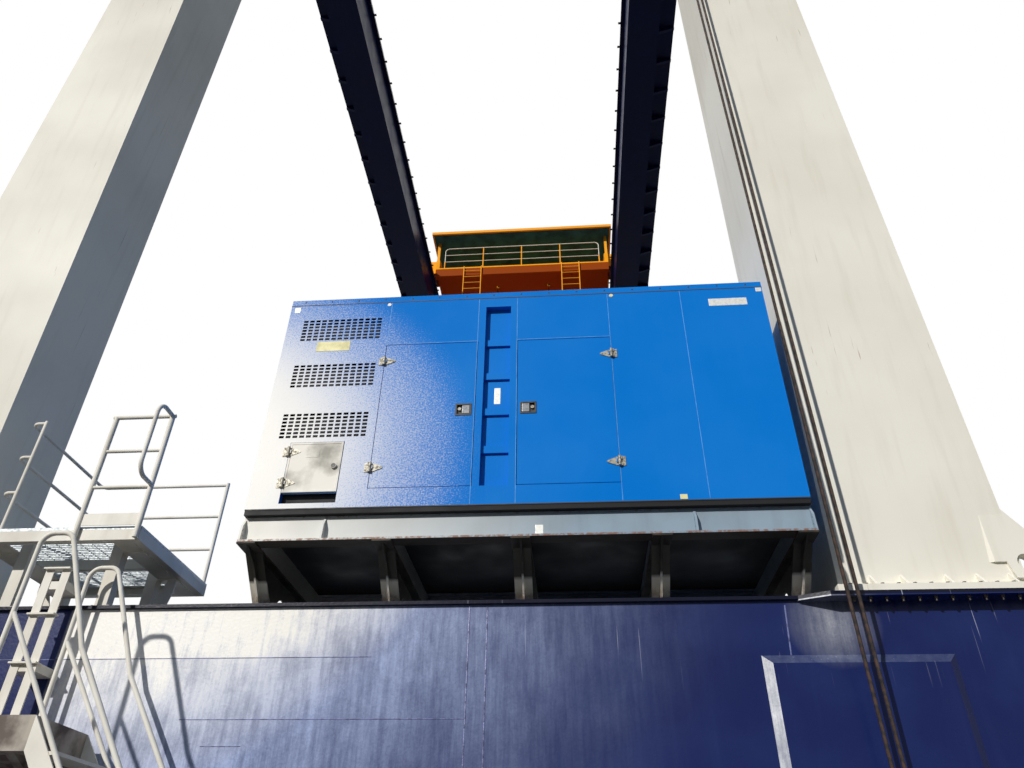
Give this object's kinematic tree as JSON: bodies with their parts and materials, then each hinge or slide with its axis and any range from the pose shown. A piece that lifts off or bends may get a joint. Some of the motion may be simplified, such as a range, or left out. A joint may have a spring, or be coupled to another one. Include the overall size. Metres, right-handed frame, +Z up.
{
  "type": "rubber tyred gantry crane",
  "caption": "Portal crane on rubber tyres with twin box girders, a sliding trolley and a blue generator housing on one sill beam.",
  "frame": {"origin": "on the ground, midway between the four legs", "axes": "X along the sill beams, Y along the girders with the generator set at -Y, Z up"},
  "size_m": [11, 27.27, 23.82],
  "materials": {
    "navy_paint": "glossy navy enamel, sprayed on welded plate",
    "cream_paint": "cream-white enamel, lightly scuffed, rust at seams",
    "blue_paint": "bright blue powder coat, slightly dusty",
    "orange_paint": "orange-yellow enamel",
    "red_paint": "red enamel on wheels",
    "galvanised_steel": "galvanised tube and grating",
    "dark_steel": "dark painted steel",
    "rail_steel": "worn rail steel",
    "primer_grey": "pale grey primer with rust runs",
    "hinge_steel": "zinc-plated hinges",
    "brushed_sheet": "bare sheet steel",
    "wire_rope": "greased brown wire rope",
    "tinted_glass": "grey-tinted laminated glass",
    "tyre_rubber": "black rubber"
  },
  "bodies": {
    "portal": {"sill_near": "navy_paint", "sill_far": "navy_paint", "leg_near_left": "cream_paint", "leg_near_right": "cream_paint", "leg_far_left": "cream_paint", "leg_far_right": "cream_paint", "girder_left": "navy_paint", "girder_right": "navy_paint", "trolley_rails": "rail_steel", "walkway_left": "navy_paint", "walkway_right": "navy_paint", "handrail_left": "galvanised_steel", "handrail_right": "galvanised_steel", "bogies_near": "navy_paint", "bogies_far": "navy_paint", "rims_near": "cream_paint", "rims_far": "cream_paint", "tyres_near": "tyre_rubber", "tyres_far": "tyre_rubber", "support_beams": "primer_grey", "support_brackets": "primer_grey", "leg_ropes": "wire_rope", "gen_skid": "dark_steel", "gen_shell": "blue_paint", "gen_roof": "blue_paint", "gen_grille_wall": "blue_paint", "gen_ladder_wall": "blue_paint", "gen_right_wall": "blue_paint", "gen_header": "blue_paint", "gen_grilles": "blue_paint", "gen_rungs": "blue_paint", "gen_hinges": "hinge_steel", "platform_frame": "cream_paint", "platform_floor": "galvanised_steel", "platform_posts": "cream_paint", "platform_rails": "cream_paint", "landing": "cream_paint", "ladder": "cream_paint", "stair": "cream_paint", "stair_rails": "cream_paint"},
    "trolley": {"trolley_frame": "orange_paint", "trolley_wheels": "red_paint", "trolley_roof": "orange_paint", "trolley_posts": "orange_paint", "trolley_rails_front": "orange_paint", "trolley_ladders": "orange_paint", "hoist_drum": "dark_steel", "hoist_stands": "orange_paint", "hoist_sheaves": "dark_steel", "hoist_drive": "cream_paint", "hoist_ropes": "wire_rope", "headblock": "orange_paint", "spreader": "orange_paint", "cab": "cream_paint", "cab_glass": "tinted_glass"},
    "door_left": {"door_left": "blue_paint"},
    "door_right": {"door_right": "blue_paint"},
    "hatch": {"hatch": "brushed_sheet"}
  },
  "joints": [
    {"name": "trolley_travel", "type": "slide", "parent": "portal", "child": "trolley", "axis": [0, 1, 0], "range_m": [-16.5, 5]},
    {"name": "door_left_hinge", "type": "hinge", "parent": "portal", "child": "door_left", "pos_m": [0.0395, -12.641, 4.9], "axis": [0, 0, -1], "range_deg": [0, 110]},
    {"name": "door_right_hinge", "type": "hinge", "parent": "portal", "child": "door_right", "pos_m": [1.9135, -12.641, 4.9], "axis": [0, 0, 1], "range_deg": [0, 110]},
    {"name": "hatch_hinge", "type": "hinge", "parent": "portal", "child": "hatch", "pos_m": [-0.6165, -12.641, 4.4], "axis": [0, 0, -1], "range_deg": [0, 110]}
  ]
}
